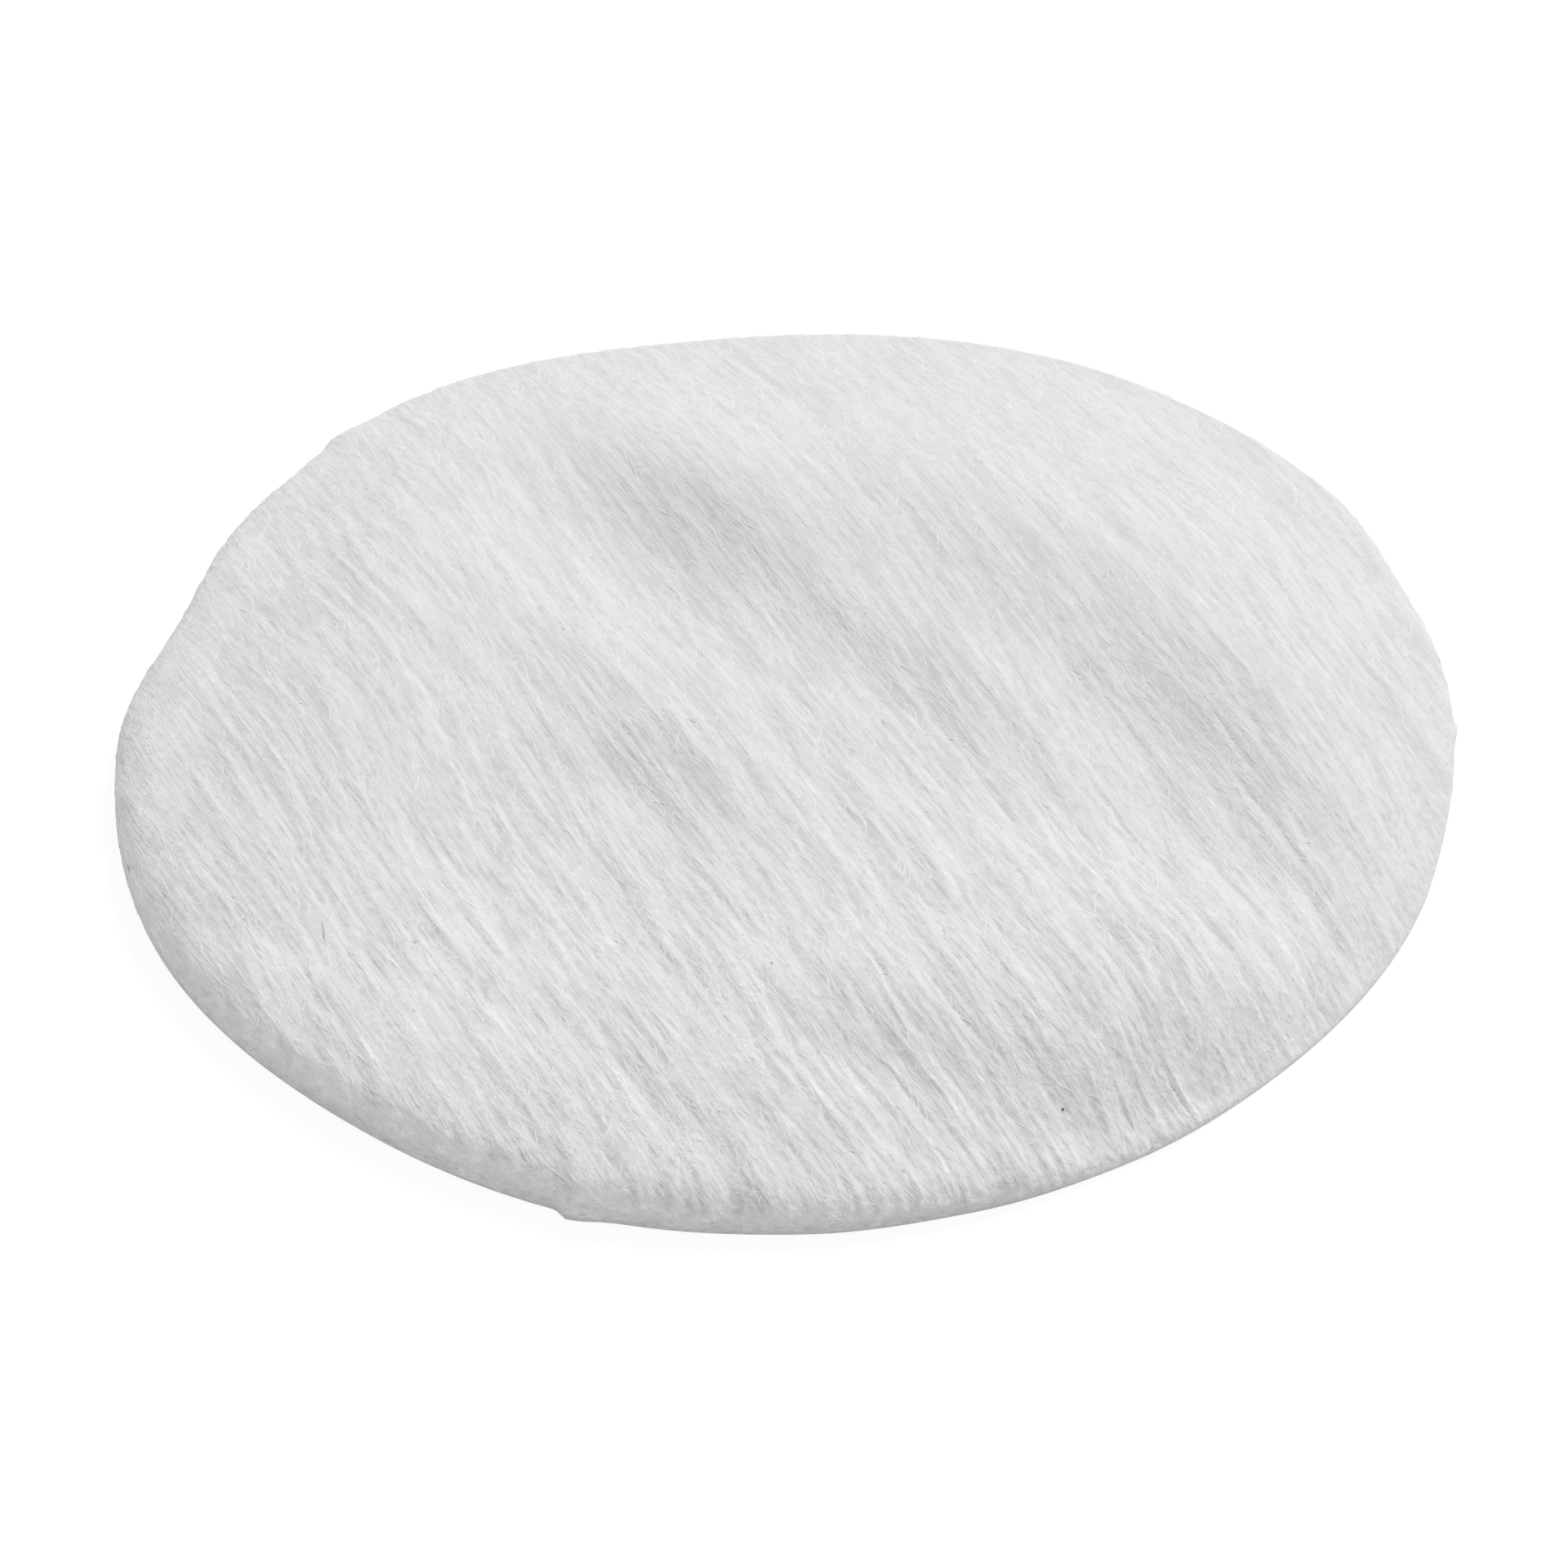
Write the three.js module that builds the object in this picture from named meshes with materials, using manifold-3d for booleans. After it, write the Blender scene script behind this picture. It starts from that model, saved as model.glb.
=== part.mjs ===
// A round cotton pad: a disc cut from one combed cotton web, soft and uneven, lying on its flat side.
// Millimetres and degrees, +Z up, +Y away from the viewer. The origin is on the table, under the pad's middle.
import * as THREE from "three";
import { mergeVertices } from "three/addons/utils/BufferGeometryUtils.js";
import Module from "manifold-3d";

// Driving dimensions
const DIAMETER = 57; // the cutter's circle, before the cotton springs out of round
const LOFT = 2.5; // thickness of the web away from its edge, between the swells and the dents
const PRESSED = 0.1; // how much of the rounded underside is pressed flat on the table
const UNDER_ROUND = 0.3; // how far in the edge's round reaches below

// The edge at each corner and flat of its outline, in turn round the pad: how far it springs out of the
// circle, how thick it is (the cutter pinched it thin on one side and left it puffed on the other), how far
// in its round reaches on top, and how wide the shoulder is that comes down to it
const EDGE_STATIONS = [
  { towards: 20, out: 0.45, thick: 0.6, round: 0.4, shoulder: 12 },
  { towards: 37, out: 1.3, thick: 0.6, round: 0.4, shoulder: 13 },
  { towards: 58, out: 1.2, thick: 0.7, round: 0.5, shoulder: 14 },
  { towards: 98, out: -0.15, thick: 0.9, round: 0.6, shoulder: 13 },
  { towards: 125, out: 0.7, thick: 1, round: 0.8, shoulder: 10 },
  { towards: 145, out: -0.2, thick: 1.7, round: 2, shoulder: 8 },
  { towards: 163, out: -1.05, thick: 2.2, round: 2.9, shoulder: 7 },
  { towards: 180, out: -0.1, thick: 2.4, round: 3, shoulder: 6 },
  { towards: 203, out: 0.2, thick: 2.2, round: 1.9, shoulder: 4.5 },
  { towards: 232, out: -0.3, thick: 2.1, round: 1.4, shoulder: 4.5 },
  { towards: 256, out: -0.1, thick: 2, round: 1.6, shoulder: 5.5 },
  { towards: 271, out: -0.3, thick: 1.9, round: 2.6, shoulder: 7 },
  { towards: 285, out: -0.55, thick: 1.6, round: 2.4, shoulder: 6 },
  { towards: 300, out: -0.75, thick: 0.8, round: 1.4, shoulder: 5 },
  { towards: 315, out: -0.95, thick: 0.45, round: 0.4, shoulder: 5 },
  { towards: 345, out: -0.57, thick: 0.45, round: 0.4, shoulder: 9 },
];

// Swells and dents of the top: where, how far they spread along and across their own direction, how high
const SWELLS = [
  { name: "back mound", x: 10, y: 13, along: 10, across: 5, towards: -32, height: 0.75 },
  { name: "back crest", x: -2.6, y: 15.6, along: 6, across: 2, towards: -50, height: 0.6 },
  { name: "right ridge", x: 22.6, y: -0.2, along: 7, across: 2.4, towards: -66, height: 0.6 },
  { name: "left ridge", x: -18, y: 7, along: 10, across: 3.8, towards: 82, height: 1 },
  { name: "middle crest", x: 8.4, y: 2.2, along: 5, across: 1.3, towards: -46, height: 0.35 },
  { name: "middle rise", x: -3.2, y: -1.8, along: 4, across: 1.8, towards: -58, height: 0.25 },
  { name: "front rise", x: 8, y: -16, along: 9, across: 3, towards: 5, height: 0.55 },
  { name: "left hollow", x: -9, y: -8, along: 7, across: 3, towards: -70, height: -0.6 },
  { name: "front left hollow", x: -15, y: -13, along: 8, across: 5, towards: -50, height: -0.3 },
  { name: "left crease", x: -6.8, y: -3.8, along: 2.4, across: 1.2, towards: -60, height: -0.45 },
  { name: "back hollow", x: -7.2, y: 11.3, along: 5.5, across: 2.5, towards: -49, height: -0.8 },
  { name: "middle hollow", x: 4.2, y: 1.7, along: 5, across: 1.4, towards: -47, height: -0.25 },
  { name: "middle dip", x: 9, y: -5.5, along: 5, across: 2.2, towards: -25, height: -0.3 },
  { name: "right hollow", x: 16.2, y: -4.4, along: 6, across: 3, towards: -58, height: -1.1 },
  { name: "front crease", x: 2.6, y: -20.3, along: 3.5, across: 1.5, towards: -35, height: -0.5 },
  { name: "front right crease", x: 10, y: -22.6, along: 3.5, across: 1.4, towards: -45, height: -0.4 },
  { name: "front left crease", x: -6.2, y: -22.6, along: 3, across: 1.2, towards: -55, height: -0.35 },
  { name: "thin front right", x: 21, y: -17, along: 7, across: 4.5, towards: 45, height: -0.3 },
];

// The combed fibres lie in fine ridges, which wander a little and come and go along their length
const COMB_TOWARDS = -62;
const RIDGES = [
  { pitch: 1.6, height: 0.02, length: 12, reach: 19, wander: 0.8 },
  { pitch: 2.3, height: 0.025, length: 15, reach: 27, wander: 0.9 },
  { pitch: 3.7, height: 0.03, length: 21, reach: 34, wander: 0.6 },
];

// Mesh steps: few along the ridges and many across them
const STEPS_ALONG = 30;
const STEPS_ACROSS = 112;
const STEPS_ROUND_EDGE = 6;

const COTTON_COLOUR = 0xe9e9e9;
const COTTON_ROUGHNESS = 0.95;

const radians = THREE.MathUtils.degToRad;
const TURN = 360;

// The edge in one direction, easing from each station to the next
function edgeTowards(towards) {
  const direction = THREE.MathUtils.euclideanModulo(towards, TURN);
  const found = EDGE_STATIONS.findIndex((station) => station.towards > direction);
  const next = EDGE_STATIONS[Math.max(found, 0)];
  const last = EDGE_STATIONS.at(Math.max(found, 0) - 1);
  const span = THREE.MathUtils.euclideanModulo(next.towards - last.towards, TURN);
  const gone = THREE.MathUtils.euclideanModulo(direction - last.towards, TURN);
  const share = THREE.MathUtils.smoothstep(gone, 0, span);
  return {
    radius: DIAMETER / 2 + THREE.MathUtils.lerp(last.out, next.out, share),
    thick: THREE.MathUtils.lerp(last.thick, next.thick, share),
    round: THREE.MathUtils.lerp(last.round, next.round, share),
    shoulder: THREE.MathUtils.lerp(last.shoulder, next.shoulder, share),
  };
}

// Position along and across a direction in plan
function turned(x, y, towards) {
  const cos = Math.cos(radians(towards));
  const sin = Math.sin(radians(towards));
  return { along: x * cos + y * sin, across: y * cos - x * sin };
}

// Height that the swells and dents add at a point
function swellHeight(x, y) {
  let height = 0;
  for (const swell of SWELLS) {
    const place = turned(x - swell.x, y - swell.y, swell.towards);
    const spread = Math.hypot(place.along / swell.along, place.across / swell.across);
    height += swell.height * Math.exp(-0.5 * spread ** 2);
  }
  return height;
}

// Height of the combed ridges at a point
function ridgeHeight(x, y) {
  const { along, across } = turned(x, y, COMB_TOWARDS);
  let height = 0;
  RIDGES.forEach((ridge, index) => {
    const sway = ridge.wander * Math.sin((2 * Math.PI * along) / ridge.reach + index);
    const fade = Math.sin((2 * Math.PI * along) / ridge.length + across);
    height += ridge.height * fade * Math.sin((2 * Math.PI * across) / ridge.pitch + sway + index);
  });
  return height;
}

// Height of the top at a point, which lies that far in from the edge's round
function topHeight(x, y, fromEdge, edge) {
  const share = Math.min(fromEdge / edge.shoulder, 1);
  const rise = Math.sin((share * Math.PI) / 2);
  const web = LOFT + swellHeight(x, y) + ridgeHeight(x, y);
  return THREE.MathUtils.lerp(edge.thick, web, rise);
}

// Moves a vertex of a 2 by 2 by 2 box to the pad: its top and bottom faces become the pad's two sides,
// its four walls become the rounded edge, and its X axis lies along the combed ridges.
function shapeVertex(vertex) {
  const along = vertex.x * Math.sqrt(1 - vertex.y ** 2 / 2);
  const across = vertex.y * Math.sqrt(1 - vertex.x ** 2 / 2);
  const share = Math.hypot(along, across);
  const towards = THREE.MathUtils.radToDeg(Math.atan2(across, along)) + COMB_TOWARDS;
  const edge = edgeTowards(towards);
  const inner = edge.radius - edge.round;
  const onWall = Math.max(Math.abs(vertex.x), Math.abs(vertex.y)) === 1;
  const lean = (vertex.z * Math.PI) / 2;
  const reach = vertex.z > 0 ? edge.round : UNDER_ROUND;
  const radius = onWall ? edge.radius - reach * (1 - Math.cos(lean)) : inner * share;
  const x = radius * Math.cos(radians(towards));
  const y = radius * Math.sin(radians(towards));
  const onTop = vertex.z === 1 && !onWall;
  const middle = edge.thick / 2;
  const z = onTop ? topHeight(x, y, inner - radius, edge) : middle + middle * Math.sin(lean);
  return vertex.set(x, y, z);
}

// The soft body, round all the way under
function softBody() {
  const geometry = new THREE.BoxGeometry(2, 2, 2, STEPS_ALONG, STEPS_ACROSS, STEPS_ROUND_EDGE);
  const position = geometry.getAttribute("position");
  const vertex = new THREE.Vector3();
  for (let i = 0; i < position.count; i++) {
    shapeVertex(vertex.fromBufferAttribute(position, i));
    position.setXYZ(i, vertex.x, vertex.y, vertex.z);
  }
  return geometry;
}

const wasm = await Module();
wasm.setup();

// A closed geometry as a solid that can be cut
function solidOf(geometry) {
  geometry.deleteAttribute("normal");
  geometry.deleteAttribute("uv");
  const merged = mergeVertices(geometry);
  const vertProperties = new Float32Array(merged.getAttribute("position").array);
  const triVerts = new Uint32Array(merged.index.array);
  return new wasm.Manifold(new wasm.Mesh({ numProp: 3, vertProperties, triVerts }));
}

// A solid's surface as a geometry to draw
function geometryOf(solid) {
  const mesh = solid.getMesh();
  const geometry = new THREE.BufferGeometry();
  geometry.setAttribute("position", new THREE.BufferAttribute(mesh.vertProperties, 3));
  geometry.setIndex(new THREE.BufferAttribute(mesh.triVerts, 1));
  geometry.computeVertexNormals();
  return geometry;
}

// The pad with its underside pressed flat, standing on the origin
function padGeometry() {
  const tableSize = 2 * DIAMETER;
  const table = new THREE.BoxGeometry(tableSize, tableSize, tableSize);
  table.translate(0, 0, PRESSED - tableSize / 2);
  const geometry = geometryOf(solidOf(softBody()).subtract(solidOf(table)));
  geometry.computeBoundingBox();
  const middle = geometry.boundingBox.getCenter(new THREE.Vector3());
  return geometry.translate(-middle.x, -middle.y, -PRESSED);
}

const cotton = new THREE.MeshStandardMaterial({
  color: COTTON_COLOUR,
  roughness: COTTON_ROUGHNESS,
  metalness: 0,
});
const pad = new THREE.Mesh(padGeometry(), cotton);
pad.name = "cotton_pad";

const part = new THREE.Group();
part.add(pad);

export default part;
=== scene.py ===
"""A round cotton pad on a white table: combed web, fibres, soft studio light and the photograph's camera."""
import math

import bmesh
import bpy
import numpy as np
from mathutils import Matrix, Vector
from mathutils.bvhtree import BVHTree


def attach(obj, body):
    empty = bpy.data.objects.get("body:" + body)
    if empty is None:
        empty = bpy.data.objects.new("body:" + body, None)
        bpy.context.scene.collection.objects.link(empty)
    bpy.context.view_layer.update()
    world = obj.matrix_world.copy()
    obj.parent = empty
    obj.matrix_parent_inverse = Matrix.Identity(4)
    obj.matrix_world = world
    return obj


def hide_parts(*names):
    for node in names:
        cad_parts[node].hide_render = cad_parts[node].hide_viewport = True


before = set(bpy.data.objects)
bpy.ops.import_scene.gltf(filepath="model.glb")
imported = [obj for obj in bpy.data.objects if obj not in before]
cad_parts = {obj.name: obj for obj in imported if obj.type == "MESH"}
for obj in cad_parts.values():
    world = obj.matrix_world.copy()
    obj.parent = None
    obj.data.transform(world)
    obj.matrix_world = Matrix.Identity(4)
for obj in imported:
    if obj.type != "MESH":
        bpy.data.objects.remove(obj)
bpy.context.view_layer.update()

MM = 0.001
PAD = "cotton_pad"
PAD_RADIUS = 28.5 * MM

# Values kept on the meshes for their materials: how far the web stands out of its form, with painted light
# added on the cut edge, which the material turns into painted light and shade in its tone; and how rough it
# is
RELIEF = "relief"
ROUGH = "rough"

# The relief that counts as 1 there, and how much painted light is added on the cut edge
RELIEF_FULL = 0.045 * MM
EDGE_PAINTED_LIGHT = 0.8

# The solid's form as a smooth mesh
WELD_DISTANCE = 0.001 * MM
UNDERSIDE_LEAN = -0.999
SUBDIVISIONS = 2
SHARP_ANGLE = math.radians(60)

# The comb: direction of the fibres in plan, from +X towards +Y
COMB_TOWARDS = math.radians(-62)
COMB_ALONG = np.array([math.cos(COMB_TOWARDS), math.sin(COMB_TOWARDS), 0.0])
COMB_ACROSS = np.array([-math.sin(COMB_TOWARDS), math.cos(COMB_TOWARDS), 0.0])

# The web's own relief, in layers: length along the comb, width across it, height
STREAK_LAYERS = [
    {"length": 4 * MM, "width": 0.6 * MM, "height": 0.005 * MM},
    {"length": 2.4 * MM, "width": 0.28 * MM, "height": 0.026 * MM},
]
STREAK_SEED = 20
STAGGER = 0.618

# Strands that stand out of the web: narrow crests, broken along their length
STRAND_LENGTH = 4.5 * MM
STRAND_WIDTH = 0.42 * MM
STRAND_HEIGHT = 0.026 * MM
STRAND_NARROW = 2.4
STRAND_SEED = 25
BREAK_LENGTH = 2.6 * MM
BREAK_WIDTH = 0.5 * MM
BREAK_USUAL = 0.5
BREAK_SEED = 26

# How the streaks and strands wander sideways, in layers, and the step over which their heading is taken
SWAY_LAYERS = [
    {"length": 9 * MM, "width": 5 * MM, "sway": 0.4 * MM},
    {"length": 1.6 * MM, "width": 1.2 * MM, "sway": 0.12 * MM},
]
SWAY_SEED = 1
HEADING_STEP = 0.5 * MM

# Fuzz of the cut edge, and how much of it is missing on the top
FUZZ_SIZE = 0.4 * MM
FUZZ_HEIGHT = 0.04 * MM
FUZZ_LESS_ON_TOP = 0.7
FUZZ_SEED = 30

# The relief fades out just above the table
RELIEF_LOWEST = 0.05 * MM
RELIEF_FADE = 0.4 * MM

# Where the top begins, by the Z of its normal: the start and the span to the full top. The combed streaks run
# on over the edge, so they have a start of their own, and so do the fibres.
TOP_LEAN = {"start": 0.55, "span": 0.35}
COMBED_LEAN = {"start": 0.1, "span": 0.6}
FIBRE_TOP_LEAN = {"start": 0.45, "span": 0.4}

# The web is rougher at the front than at the back, and the curve keeps most of that to the front
FRONT_Y = -25 * MM
BACK_Y = 25 * MM
ROUGH_FRONT = 1.5
ROUGH_BACK = 0.75
ROUGH_CURVE = 1.4

# Small tufts that stand out of the cut edge: direction in degrees, how far out, how wide before and after it
EDGE_TUFTS = [
    {"towards": 252.2, "out": 0.35 * MM, "before": 0.25 * MM, "after": 0.9 * MM},
    {"towards": 134, "out": 0.3 * MM, "before": 0.8 * MM, "after": 0.8 * MM},
    {"towards": 3.2, "out": 0.16 * MM, "before": 0.35 * MM, "after": 0.35 * MM},
]
TUFT_START = 25.5 * MM
TUFT_SPAN = 2.5 * MM

# Fibres on the web, by kind: how many, their mean length and width, how far they stray from the comb and
# curl at each step in degrees, how thick they are and how high they arch off the web in parts of their width,
# how many of them lie on the edge compared with the top, and in how many steps each is laid
FIBRE_KINDS = [
    {
        "name": "long_fibres", "count": 6400, "length": 2.2 * MM, "width": 0.08 * MM,
        "stray": 6, "curl": 6, "thick": 0.35, "arch": 0.1, "edge": 0.8, "steps": 4, "seed": 11,
    },
    {
        "name": "short_fibres", "count": 6400, "length": 1.2 * MM, "width": 0.06 * MM,
        "stray": 14, "curl": 16, "thick": 0.35, "arch": 0.1, "edge": 1.6, "steps": 4, "seed": 12,
    },
    {
        "name": "curled_fibres", "count": 4300, "length": 1 * MM, "width": 0.055 * MM,
        "stray": 40, "curl": 32, "thick": 0.35, "arch": 0.1, "edge": 2.6, "steps": 6, "seed": 13,
    },
    {
        "name": "fine_fibres", "count": 4300, "length": 0.8 * MM, "width": 0.045 * MM,
        "stray": 40, "curl": 32, "thick": 0.35, "arch": 0.1, "edge": 2.6, "steps": 6, "seed": 14,
    },
]

# Least and most length and width of a fibre, as shares of its kind's mean; the widths have seeds of their own
LENGTH_SPREAD = (0.5, 1.5)
WIDTH_SPREAD = (0.6, 1.3)
WIDTH_SEED_STEP = 100

# Where the fibres lie: in clumps and on what stands high, a few everywhere, and none under the pad
CLUMP_LENGTH = 2 * MM
CLUMP_WIDTH = 0.3 * MM
CLUMP_SEED = 50
FIBRES_EVERYWHERE = 0.08
FIBRES_USUAL = 0.3
FIBRES_BY_CLUMP = 0.7
FIBRES_BY_RELIEF = 0.7
FIBRE_UNDER_LEAN = -0.1
FIBRE_LOWEST = 0.15 * MM

# Section of a fibre, in parts of its width: how wide its ends are, how deep they sink below its thickness,
# how deep its sides sink, and how far the shading leans to its sides
RIDGE_ENDS = 0.4
RIDGE_SUNK = 0.05
RIDGE_SIDES_SUNK = 0.12
RIDGE_LEAN = 0.4

# Dust on the web: two specks and a hair, where they lie in plan and how big they are
SPECKS = [
    {"x": 11 * MM, "y": -22.5 * MM, "radius": 0.05 * MM},
    {"x": -0.65 * MM, "y": -15.4 * MM, "radius": 0.03 * MM},
]
SPECK_SUBDIVISIONS = 2
HAIR_START = Vector((-19.05, -12.6, 0)) * MM
HAIR_END = Vector((-18.87, -13.95, 0)) * MM
HAIR_WIDTH = 0.05 * MM
HAIR_THICK = 0.4
HAIR_ARCH = 0.1
HAIR_STEPS = 8
DUST_LIFT = 0.03 * MM
ABOVE_PAD = 10 * MM

# Cotton and dust, by material: tone, how far the tone varies with painted light and shade, height of the fine
# bump
LOOKS = {
    # The web's tone is set darker and the fibres' lighter than the cotton's own, as painted shade on the web
    # and painted light on the fibres
    "cotton_web_painted_shade": {"tone": 0.8, "contrast": 0.25, "bump_height": 0.075 * MM},
    "cotton_fibre_painted_light": {"tone": 0.93, "contrast": 0.1, "bump_height": 0.04 * MM},
    "dust_dark": {"tone": 0.12, "contrast": 0.05, "bump_height": 0.01 * MM},
    "dust_grey": {"tone": 0.6, "contrast": 0.1, "bump_height": 0.01 * MM},
}
SPECULAR_LEVEL = 0.1
SHEEN_WEIGHT = 0.1
SHEEN_ROUGHNESS = 0.5

# Fine grain of the cotton: strands along the comb and fuzz, the shares of the fuzz and of the web's relief,
# and their usual sum, at which the tone is the plain one; the tone is painted lighter above it and darker
# below it, as painted light on the crests and painted shade in the grooves of the bump and the relief
GRAIN_STRAND = {"along": 2.5 * MM, "across": 0.2 * MM}
GRAIN_FUZZ = {"along": 0.45 * MM, "across": 0.3 * MM}
GRAIN_DETAIL = 1
GRAIN_ROUGHNESS = 0.6
GRAIN_FUZZ_SHARE = 0.8
RELIEF_PAINTED_SHADE_SHARE = 0.6
GRAIN_USUAL = 1.0

# Table: its tone as it lights the pad, the tone that shows the shadow, and the glow that makes it white
FLOOR_SIZE = 3.0
FLOOR_TONE = 0.65
FLOOR_SHADOW_TONE = 0.2
FLOOR_GLOW = 0.86

# Camera, fitted to the photograph
CAMERA_AIM = Vector((-0.15, -3.03, 1.3)) * MM
CAMERA_TOWARDS = math.radians(-90)
CAMERA_ELEVATION = math.radians(42)
CAMERA_DISTANCE = 300 * MM
CAMERA_LENS = 163.9
CAMERA_NEAR = 0.01
CAMERA_FAR = 10
SENSOR_WIDTH = 36

# Light
KEY_TOWARDS = math.radians(60)
KEY_ELEVATION = math.radians(40)
KEY_DISTANCE = 2.0
KEY_SIZE = 0.8
KEY_POWER = 18.6
SKY_STRENGTH = 0.615


def ease(value):
    """Goes smoothly from 0 to 1."""
    value = np.clip(value, 0.0, 1.0)
    return value * value * (3.0 - 2.0 * value)


def rise(value, start, span):
    """Goes smoothly from 0 at the start to 1 a span further on."""
    return ease((value - start) / span)


def unit(vectors):
    """Vectors brought to a length of 1."""
    shortest = 1e-12
    return vectors / np.maximum(np.linalg.norm(vectors, axis=-1, keepdims=True), shortest)


class PlaneNoise:
    """Smooth seeded noise on a plane, about -1 to 1."""

    CELLS = 256

    def __init__(self, seed):
        self.values = np.random.default_rng(seed).uniform(-1.0, 1.0, (self.CELLS, self.CELLS))

    def on_row(self, column, row, right):
        """Value on a row of cells, between one column and the next."""
        here = self.values[column % self.CELLS, row % self.CELLS]
        beside = self.values[(column + 1) % self.CELLS, row % self.CELLS]
        return here + (beside - here) * right

    def at(self, x, y):
        """Value at each place."""
        column = np.floor(x).astype(int)
        row = np.floor(y).astype(int)
        right = ease(x - column)
        up = ease(y - row)
        low = self.on_row(column, row, right)
        high = self.on_row(column, row + 1, right)
        return low + (high - low) * up


def vertex_array(mesh, attribute):
    """A mesh's vertex positions or normals as rows."""
    values = np.empty(len(mesh.vertices) * 3)
    mesh.vertices.foreach_get(attribute, values)
    return values.reshape(-1, 3)


def triangle_mesh(name, vertices, triangles):
    """A mesh from rows of vertices and of triangles."""
    mesh = bpy.data.meshes.new(name)
    mesh.vertices.add(len(vertices))
    mesh.vertices.foreach_set("co", vertices.ravel())
    mesh.loops.add(len(triangles) * 3)
    mesh.loops.foreach_set("vertex_index", triangles.ravel())
    mesh.polygons.add(len(triangles))
    mesh.polygons.foreach_set("loop_start", np.arange(0, len(triangles) * 3, 3))
    mesh.update(calc_edges=True)
    mesh.validate()
    return mesh


def surface_tree(mesh):
    """A mesh's surface, to find places on it."""
    vertices = [vertex.co for vertex in mesh.vertices]
    polygons = [polygon.vertices for polygon in mesh.polygons]
    return BVHTree.FromPolygons(vertices, polygons)


def new_piece(name, mesh, material):
    """Links a mesh as a piece that rides on the pad's one body."""
    piece = bpy.data.objects.new(name, mesh)
    bpy.context.scene.collection.objects.link(piece)
    mesh.materials.append(material)
    mesh.shade_smooth()
    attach(piece, "root")
    return piece


def smooth_form(node):
    """The solid's form as a smooth, dense mesh: its triangles joined to four-sided faces and subdivided.
    The flat underside is taken off first and closed again at the end."""
    form = bmesh.new()
    form.from_mesh(node.data)
    bmesh.ops.remove_doubles(form, verts=form.verts, dist=WELD_DISTANCE)
    form.normal_update()
    under = [face for face in form.faces if face.normal.z < UNDERSIDE_LEAN]
    bmesh.ops.delete(form, geom=under, context="FACES")
    bmesh.ops.join_triangles(
        form, faces=form.faces[:], angle_face_threshold=math.pi, angle_shape_threshold=math.pi,
    )
    mesh = bpy.data.meshes.new("smooth_form")
    form.to_mesh(mesh)
    form.free()
    holder = bpy.data.objects.new("smooth_form", mesh)
    bpy.context.scene.collection.objects.link(holder)
    smooth = holder.modifiers.new("smooth", "SUBSURF")
    smooth.levels = SUBDIVISIONS
    depsgraph = bpy.context.evaluated_depsgraph_get()
    dense = bpy.data.meshes.new_from_object(holder.evaluated_get(depsgraph))
    bpy.data.objects.remove(holder)
    closed = bmesh.new()
    closed.from_mesh(dense)
    bmesh.ops.holes_fill(closed, edges=[edge for edge in closed.edges if edge.is_boundary], sides=0)
    closed.to_mesh(dense)
    closed.free()
    return dense


def sway(along, across):
    """How far the combed streaks wander sideways."""
    total = np.zeros(len(along))
    for index, layer in enumerate(SWAY_LAYERS):
        noise = PlaneNoise(SWAY_SEED + index)
        total += layer["sway"] * noise.at(along / layer["length"], across / layer["width"])
    return total


def heading(points):
    """Angle of the streaks from the comb's direction."""
    along = points @ COMB_ALONG
    across = points @ COMB_ACROSS
    moved = sway(along - HEADING_STEP, across) - sway(along + HEADING_STEP, across)
    return np.arctan2(moved, 2 * HEADING_STEP)


def comb_place(points):
    """Place of each point along the comb and across its wandering streaks."""
    along = points @ COMB_ALONG
    across = points @ COMB_ACROSS
    return along, across + sway(along, across)


def combed_noise(seed, along, across, length, width):
    """Noise drawn out along the comb, with its rows staggered."""
    column = across / width
    return PlaneNoise(seed).at(along / length + STAGGER * column, column)


def roughness(points):
    """How rough the web is at each point, from its back to its front."""
    forward = np.clip((BACK_Y - points[:, 1]) / (BACK_Y - FRONT_Y), 0.0, 1.0)
    return ROUGH_BACK + (ROUGH_FRONT - ROUGH_BACK) * forward ** ROUGH_CURVE


def streaks(points):
    """Height of the combed streaks and strands."""
    along, across = comb_place(points)
    height = np.zeros(len(points))
    for index, layer in enumerate(STREAK_LAYERS):
        noise = combed_noise(STREAK_SEED + index, along, across, layer["length"], layer["width"])
        height += layer["height"] * noise
    crest = combed_noise(STRAND_SEED, along, across, STRAND_LENGTH, STRAND_WIDTH)
    whole = ease(BREAK_USUAL + PlaneNoise(BREAK_SEED).at(along / BREAK_LENGTH, across / BREAK_WIDTH))
    height += STRAND_HEIGHT * np.maximum(1.0 - STRAND_NARROW * np.abs(crest), 0.0) * whole
    return height


def top_share(normals):
    """How far each point belongs to the top, and not to the edge."""
    return rise(normals[:, 2], **TOP_LEAN)


def relief(points, normals):
    """How far the web stands out of the smooth form at each point, along its normal."""
    combed = streaks(points) * roughness(points) * rise(normals[:, 2], **COMBED_LEAN)
    round_edge = np.arctan2(points[:, 1], points[:, 0]) * PAD_RADIUS
    up_edge = points[:, 2] - np.hypot(points[:, 0], points[:, 1])
    fuzz = FUZZ_HEIGHT * PlaneNoise(FUZZ_SEED).at(round_edge / FUZZ_SIZE, up_edge / FUZZ_SIZE)
    fuzz = fuzz * (1.0 - FUZZ_LESS_ON_TOP * top_share(normals))
    return (combed + fuzz) * rise(points[:, 2], RELIEF_LOWEST, RELIEF_FADE)


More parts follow.
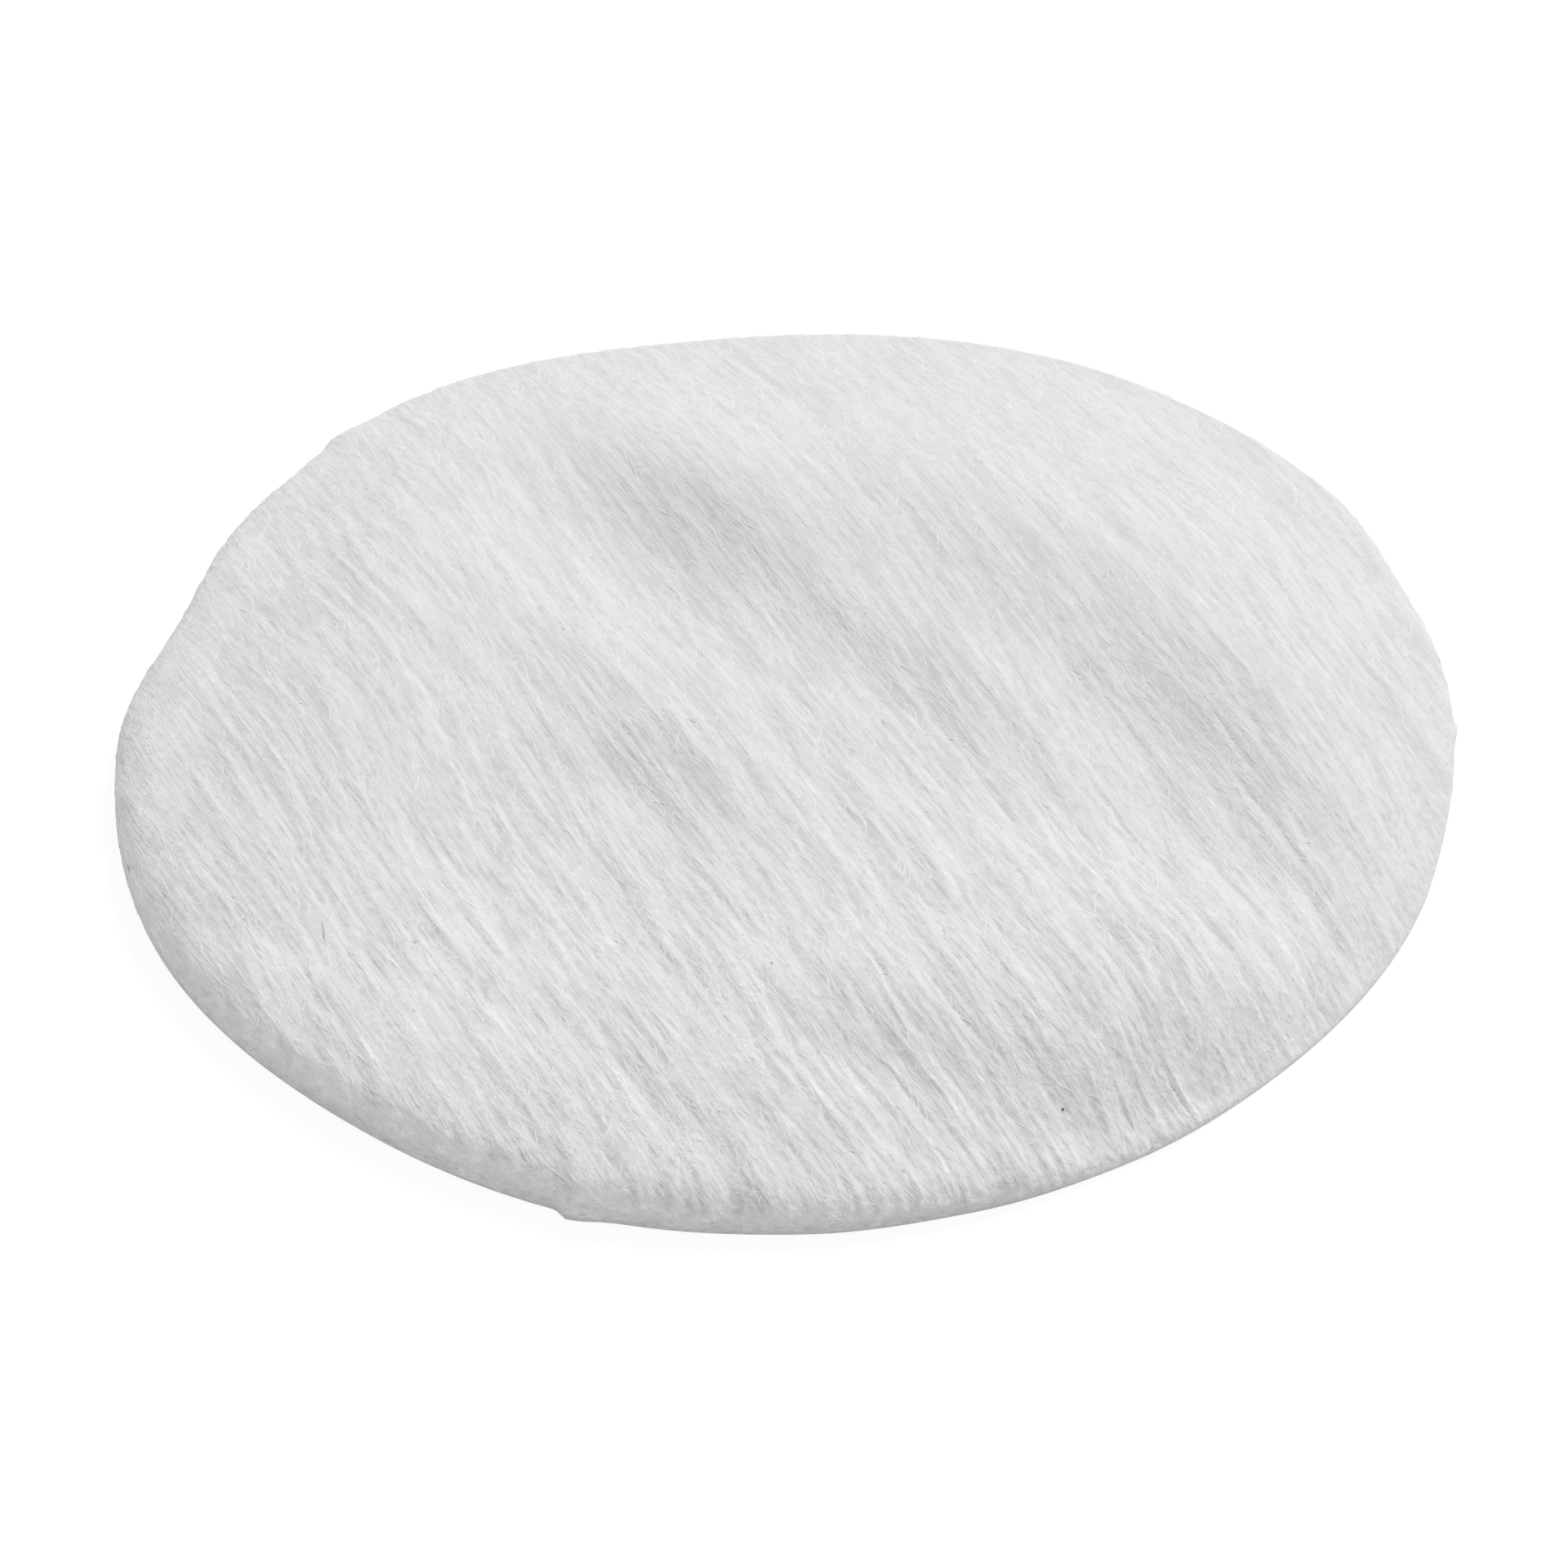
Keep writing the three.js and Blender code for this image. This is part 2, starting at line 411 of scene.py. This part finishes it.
def edge_tufts(points):
    """Outward push of the small tufts on the cut edge."""
    radius = np.hypot(points[:, 0], points[:, 1])
    turn = np.arctan2(points[:, 1], points[:, 0])
    push = np.zeros(len(points))
    near_edge = rise(radius, TUFT_START, TUFT_SPAN)
    for tuft in EDGE_TUFTS:
        apart = (turn - math.radians(tuft["towards"]) + math.pi) % (2 * math.pi) - math.pi
        apart = apart * radius
        wide = np.where(apart < 0, tuft["before"], tuft["after"])
        push += tuft["out"] * np.exp(-0.5 * (apart / wide) ** 2) * near_edge
    outward = points * np.array([1.0, 1.0, 0.0]) / np.maximum(radius, MM)[:, None]
    return outward * push[:, None]


def mark_roughness(mesh):
    """Keeps the web's roughness on the mesh for its material."""
    rough = roughness(vertex_array(mesh, "co")) / ROUGH_FRONT
    mesh.attributes.new(ROUGH, "FLOAT", "POINT").data.foreach_set("value", rough)


def make_body(material):
    """The pad's body: the solid's form with the combed relief and the tufts of its edge."""
    mesh = smooth_form(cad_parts[PAD])
    points = vertex_array(mesh, "co")
    normals = vertex_array(mesh, "normal")
    raised = relief(points, normals)
    points += normals * raised[:, None] + edge_tufts(points)
    points[:, 2] = np.maximum(points[:, 2], 0.0)
    mesh.vertices.foreach_set("co", points.ravel())
    # Painted light on the cut edge: the kept value is raised there, so the material paints the edge lighter
    # and more fibres lie on it
    raised = raised / RELIEF_FULL + EDGE_PAINTED_LIGHT * (1.0 - top_share(normals))
    mesh.attributes.new(RELIEF, "FLOAT", "POINT").data.foreach_set("value", raised)
    mark_roughness(mesh)
    mesh.update()
    mesh.materials.clear()
    mesh.name = "pad_body"
    body = new_piece("pad_body", mesh, material)
    mesh.set_sharp_from_angle(angle=SHARP_ANGLE)
    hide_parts(PAD)
    return body


def fibre_weight(middle, area, upright, raised, edge):
    """How likely a fibre starts on each triangle."""
    along, across = comb_place(middle)
    clump = combed_noise(CLUMP_SEED, along, across, CLUMP_LENGTH, CLUMP_WIDTH)
    crowd = FIBRES_EVERYWHERE + ease(FIBRES_USUAL + FIBRES_BY_CLUMP * clump + FIBRES_BY_RELIEF * raised)
    on_top = rise(upright, **FIBRE_TOP_LEAN)
    return area * crowd * (edge + (1.0 - edge) * on_top) * roughness(middle)


def surface_samples(mesh, count, edge, random):
    """Seeded points on the top and the edge of a mesh, more of them where it stands high, with normals."""
    mesh.calc_loop_triangles()
    corners = np.empty(len(mesh.loop_triangles) * 3, dtype=np.int32)
    mesh.loop_triangles.foreach_get("vertices", corners)
    corners = corners.reshape(-1, 3)
    points = vertex_array(mesh, "co")
    raised = np.empty(len(points))
    mesh.attributes[RELIEF].data.foreach_get("value", raised)
    first, second, third = (points[corners[:, corner]] for corner in range(3))
    cross = np.cross(second - first, third - first)
    area = np.linalg.norm(cross, axis=1)
    upright = cross[:, 2] / area
    middle = (first + second + third) / 3
    weight = fibre_weight(middle, area, upright, raised[corners].mean(axis=1), edge)
    lowest = points[corners][:, :, 2].min(axis=1)
    weight[(upright < FIBRE_UNDER_LEAN) | (lowest < FIBRE_LOWEST)] = 0.0
    chosen = random.choice(len(corners), count, p=weight / weight.sum())
    one, two = random.uniform(0.0, 1.0, (2, count))
    outside = one + two > 1.0
    one[outside] = 1.0 - one[outside]
    two[outside] = 1.0 - two[outside]
    places = first[chosen] + one[:, None] * (second - first)[chosen] + two[:, None] * (third - first)[chosen]
    return places, cross[chosen] / area[chosen][:, None]


def on_surface(tree, points):
    """The nearest points of the body's surface and their normals."""
    found = [tree.find_nearest(Vector(point)) for point in points]
    return np.array([hit[0] for hit in found]), np.array([hit[1] for hit in found])


def fibre_paths(tree, mesh, kind):
    """Paths over the surface, along the comb with some stray and curl, and the surface's normals there."""
    random = np.random.default_rng(kind["seed"])
    count = kind["count"]
    steps = kind["steps"]
    place, normal = surface_samples(mesh, count, kind["edge"], random)
    length = kind["length"] * random.uniform(*LENGTH_SPREAD, count)
    stray = np.radians(random.normal(0.0, kind["stray"], count))
    curl = np.radians(random.normal(0.0, kind["curl"], count))
    paths = np.empty((count, steps + 1, 3))
    normals = np.empty((count, steps + 1, 3))
    for step in range(steps + 1):
        paths[:, step] = place
        normals[:, step] = normal
        turned = heading(place) + stray + curl * step
        wanted = np.cos(turned)[:, None] * COMB_ALONG + np.sin(turned)[:, None] * COMB_ACROSS
        level = unit(wanted - np.sum(wanted * normal, axis=1, keepdims=True) * normal)
        place, normal = on_surface(tree, place + level * (length / steps)[:, None])
    clear = paths[:, :, 2].min(axis=1) > FIBRE_LOWEST
    return paths[clear], normals[clear]


def ridge_triangles(stations, sides):
    """Triangles of one closed ridge, by its rings of vertices."""
    triangles = []
    for station in range(stations - 1):
        for side in range(sides):
            here = station * sides + side
            beside = station * sides + (side + 1) % sides
            triangles.append((here, beside + sides, beside))
            triangles.append((here, here + sides, beside + sides))
    last = (stations - 1) * sides
    triangles.append((0, 1, 2))
    triangles.append((last, last + 2, last + 1))
    return np.array(triangles)


def low_ridges(paths, normals, width, thick, lift):
    """Closed three-sided ridges along the paths, which come out of the surface and go back into it:
    vertices, their shading normals, triangles."""
    sides = 3
    count, stations, _ = paths.shape
    tangent = unit(np.gradient(paths, axis=1))
    sideways = unit(np.cross(tangent, normals))
    share = np.linspace(0.0, 1.0, stations)
    arch = np.sin(np.pi * share)[None, :, None]
    wide = width[:, None, None] * (RIDGE_ENDS + (1.0 - RIDGE_ENDS) * arch)
    base = paths + normals * width[:, None, None] * (arch * lift - (1.0 - arch) * (thick + RIDGE_SUNK))
    foot = base - normals * wide * RIDGE_SIDES_SUNK
    rings = np.empty((count, stations, sides, 3))
    rings[:, :, 0] = base + normals * wide * thick
    rings[:, :, 1] = foot - sideways * wide / 2
    rings[:, :, 2] = foot + sideways * wide / 2
    shading = np.stack([normals, normals - RIDGE_LEAN * sideways, normals + RIDGE_LEAN * sideways], axis=2)
    offsets = np.arange(count)[:, None, None] * stations * sides
    triangles = ridge_triangles(stations, sides)[None] + offsets
    return rings.reshape(-1, 3), unit(shading).reshape(-1, 3), triangles.reshape(-1, 3)


def make_fibres(tree, mesh, material):
    """The fibres that lie on the web."""
    for kind in FIBRE_KINDS:
        paths, normals = fibre_paths(tree, mesh, kind)
        random = np.random.default_rng(kind["seed"] + WIDTH_SEED_STEP)
        width = kind["width"] * random.uniform(*WIDTH_SPREAD, len(paths))
        vertices, shading, triangles = low_ridges(paths, normals, width, kind["thick"], kind["arch"])
        fibres = triangle_mesh(kind["name"], vertices, triangles)
        mark_roughness(fibres)
        piece = new_piece(kind["name"], fibres, material)
        fibres.normals_split_custom_set_from_vertices(shading)


def top_at(tree, x, y):
    """The point of the web's top above a place in plan, and the normal there."""
    point, normal, _, _ = tree.ray_cast(Vector((x, y, ABOVE_PAD)), Vector((0, 0, -1)))
    return point, normal


def make_specks(tree, material):
    """The specks of dust on the web."""
    form = bmesh.new()
    for speck in SPECKS:
        point, normal = top_at(tree, speck["x"], speck["y"])
        place = Matrix.Translation(point + normal * DUST_LIFT)
        bmesh.ops.create_icosphere(
            form, subdivisions=SPECK_SUBDIVISIONS, radius=speck["radius"], matrix=place,
        )
    mesh = bpy.data.meshes.new("dust_specks")
    form.to_mesh(mesh)
    form.free()
    mark_roughness(mesh)
    new_piece("dust_specks", mesh, material)


def make_hair(tree, material):
    """The short hair on the web."""
    places = [HAIR_START.lerp(HAIR_END, step / HAIR_STEPS) for step in range(HAIR_STEPS + 1)]
    found = [top_at(tree, place.x, place.y) for place in places]
    path = np.array([[point + normal * DUST_LIFT for point, normal in found]])
    normals = np.array([[normal for _, normal in found]])
    vertices, shading, triangles = low_ridges(path, normals, np.array([HAIR_WIDTH]), HAIR_THICK, HAIR_ARCH)
    mesh = triangle_mesh("dust_hair", vertices, triangles)
    mark_roughness(mesh)
    new_piece("dust_hair", mesh, material)
    mesh.normals_split_custom_set_from_vertices(shading)


def grey(tone):
    """A grey as a colour."""
    return (tone, tone, tone, 1)


def node_material(name):
    """A material with nothing but its output."""
    material = bpy.data.materials.new(name)
    material.use_nodes = True
    nodes = material.node_tree.nodes
    nodes.clear()
    output = nodes.new("ShaderNodeOutputMaterial")
    return material, nodes, material.node_tree.links, output


def calculated(nodes, links, operation, *values):
    """Result of a math node; each value is a number or another node's output."""
    node = nodes.new("ShaderNodeMath")
    node.operation = operation
    for socket, value in zip(node.inputs, values):
        if isinstance(value, (int, float)):
            socket.default_value = value
        else:
            links.new(value, socket)
    return node.outputs["Value"]


def kept_value(nodes, name):
    """A value that is kept on the mesh."""
    kept = nodes.new("ShaderNodeAttribute")
    kept.attribute_name = name
    return kept.outputs["Fac"]


def stretched_noise(nodes, links, along, across):
    """Noise drawn out along the comb; the sizes are in metres."""
    place = nodes.new("ShaderNodeTexCoord")
    turn = nodes.new("ShaderNodeMapping")
    turn.vector_type = "TEXTURE"
    turn.inputs["Rotation"].default_value = (0.0, 0.0, COMB_TOWARDS)
    turn.inputs["Scale"].default_value = (along, across, across)
    noise = nodes.new("ShaderNodeTexNoise")
    noise.inputs["Scale"].default_value = 1.0
    noise.inputs["Detail"].default_value = GRAIN_DETAIL
    noise.inputs["Roughness"].default_value = GRAIN_ROUGHNESS
    links.new(place.outputs["Object"], turn.inputs["Vector"])
    links.new(turn.outputs["Vector"], noise.inputs["Vector"])
    return noise.outputs["Fac"]


def cotton_material(name):
    """Matt cotton: a faint sheen, fine bump, and painted light and shade: a tone that follows the comb,
    lighter on the crests and darker in the grooves of the bump and the relief.
    """
    look = LOOKS[name]
    material, nodes, links, output = node_material(name)
    cotton = nodes.new("ShaderNodeBsdfPrincipled")
    cotton.inputs["Roughness"].default_value = 1.0
    cotton.inputs["Specular IOR Level"].default_value = SPECULAR_LEVEL
    cotton.inputs["Sheen Weight"].default_value = SHEEN_WEIGHT
    cotton.inputs["Sheen Roughness"].default_value = SHEEN_ROUGHNESS
    raised = kept_value(nodes, RELIEF)
    rough = kept_value(nodes, ROUGH)
    strand = stretched_noise(nodes, links, **GRAIN_STRAND)
    fuzz = stretched_noise(nodes, links, **GRAIN_FUZZ)
    height = calculated(nodes, links, "MULTIPLY_ADD", fuzz, GRAIN_FUZZ_SHARE, strand)
    # Painted light and shade: the tone rises with the height of the bump and of the relief
    painted_light_and_shade = calculated(nodes, links, "MULTIPLY_ADD", raised, RELIEF_PAINTED_SHADE_SHARE, height)
    above = calculated(nodes, links, "SUBTRACT", painted_light_and_shade, GRAIN_USUAL)
    stronger = calculated(nodes, links, "MULTIPLY", above, rough)
    shade = calculated(nodes, links, "MULTIPLY_ADD", stronger, look["contrast"], look["tone"])
    links.new(shade, cotton.inputs["Base Color"])
    bump = nodes.new("ShaderNodeBump")
    bump.inputs["Distance"].default_value = look["bump_height"]
    links.new(height, bump.inputs["Height"])
    links.new(rough, bump.inputs["Strength"])
    links.new(bump.outputs["Normal"], cotton.inputs["Normal"])
    links.new(cotton.outputs["BSDF"], output.inputs["Surface"])
    return material


def seen_directly(nodes, links):
    """1 where the camera sees a surface, by itself or in a reflection, and 0 where it only lights others."""
    path = nodes.new("ShaderNodeLightPath")
    seen = path.outputs["Is Camera Ray"]
    for ray in ("Is Glossy Ray", "Is Transmission Ray"):
        seen = calculated(nodes, links, "MAXIMUM", seen, path.outputs[ray])
    return seen


def floor_material():
    """A white table: white to the camera and in reflections, with the pad's soft shadow kept on it."""
    material, nodes, links, output = node_material("white_table")
    plain = nodes.new("ShaderNodeBsdfDiffuse")
    plain.inputs["Color"].default_value = grey(FLOOR_TONE)
    shadowed = nodes.new("ShaderNodeBsdfDiffuse")
    shadowed.inputs["Color"].default_value = grey(FLOOR_SHADOW_TONE)
    glow = nodes.new("ShaderNodeEmission")
    glow.inputs["Strength"].default_value = FLOOR_GLOW
    white = nodes.new("ShaderNodeAddShader")
    pick = nodes.new("ShaderNodeMixShader")
    links.new(shadowed.outputs["BSDF"], white.inputs[0])
    links.new(glow.outputs["Emission"], white.inputs[1])
    links.new(seen_directly(nodes, links), pick.inputs["Fac"])
    links.new(plain.outputs["BSDF"], pick.inputs[1])
    links.new(white.outputs["Shader"], pick.inputs[2])
    links.new(pick.outputs["Shader"], output.inputs["Surface"])
    return material


def make_floor():
    """The table under the pad."""
    half = FLOOR_SIZE / 2
    corners = [(-half, -half, 0), (half, -half, 0), (half, half, 0), (-half, half, 0)]
    mesh = bpy.data.meshes.new("floor")
    mesh.from_pydata(corners, [], [(0, 1, 2, 3)])
    floor = bpy.data.objects.new("floor", mesh)
    mesh.materials.append(floor_material())
    bpy.context.scene.collection.objects.link(floor)


def direction(towards, elevation):
    """Unit vector towards a side, from +X towards +Y, at an elevation."""
    level = math.cos(elevation)
    return Vector((level * math.cos(towards), level * math.sin(towards), math.sin(elevation)))


def make_light():
    """A soft key from behind on the right, and an even sky."""
    lamp = bpy.data.lights.new("key", "AREA")
    lamp.shape = "DISK"
    lamp.size = KEY_SIZE
    lamp.energy = KEY_POWER
    key = bpy.data.objects.new("key", lamp)
    towards = direction(KEY_TOWARDS, KEY_ELEVATION)
    key.location = towards * KEY_DISTANCE
    key.rotation_euler = towards.to_track_quat("Z", "Y").to_euler()
    bpy.context.scene.collection.objects.link(key)
    world = bpy.data.worlds.new("sky")
    world.use_nodes = True
    nodes = world.node_tree.nodes
    links = world.node_tree.links
    sky = nodes["Background"]
    sky.inputs["Color"].default_value = grey(1)
    level = nodes.new("ShaderNodeMix")
    level.data_type = "FLOAT"
    level.inputs["A"].default_value = SKY_STRENGTH
    level.inputs["B"].default_value = 1.0
    links.new(seen_directly(nodes, links), level.inputs["Factor"])
    links.new(level.outputs["Result"], sky.inputs["Strength"])
    bpy.context.scene.world = world


def make_camera():
    """The photograph's camera."""
    data = bpy.data.cameras.new("camera")
    data.sensor_width = SENSOR_WIDTH
    data.lens = CAMERA_LENS
    data.clip_start = CAMERA_NEAR
    data.clip_end = CAMERA_FAR
    camera = bpy.data.objects.new("camera", data)
    back = direction(CAMERA_TOWARDS, CAMERA_ELEVATION)
    camera.location = CAMERA_AIM + back * CAMERA_DISTANCE
    camera.rotation_euler = back.to_track_quat("Z", "Y").to_euler()
    bpy.context.scene.collection.objects.link(camera)
    bpy.context.scene.camera = camera


make_camera()
make_light()
make_floor()
web_cotton = cotton_material("cotton_web_painted_shade")
fibre_cotton = cotton_material("cotton_fibre_painted_light")
pad_body = make_body(web_cotton)
pad_tree = surface_tree(pad_body.data)
make_fibres(pad_tree, pad_body.data, fibre_cotton)
make_specks(pad_tree, cotton_material("dust_dark"))
make_hair(pad_tree, cotton_material("dust_grey"))
bpy.context.scene.view_settings.view_transform = "Standard"
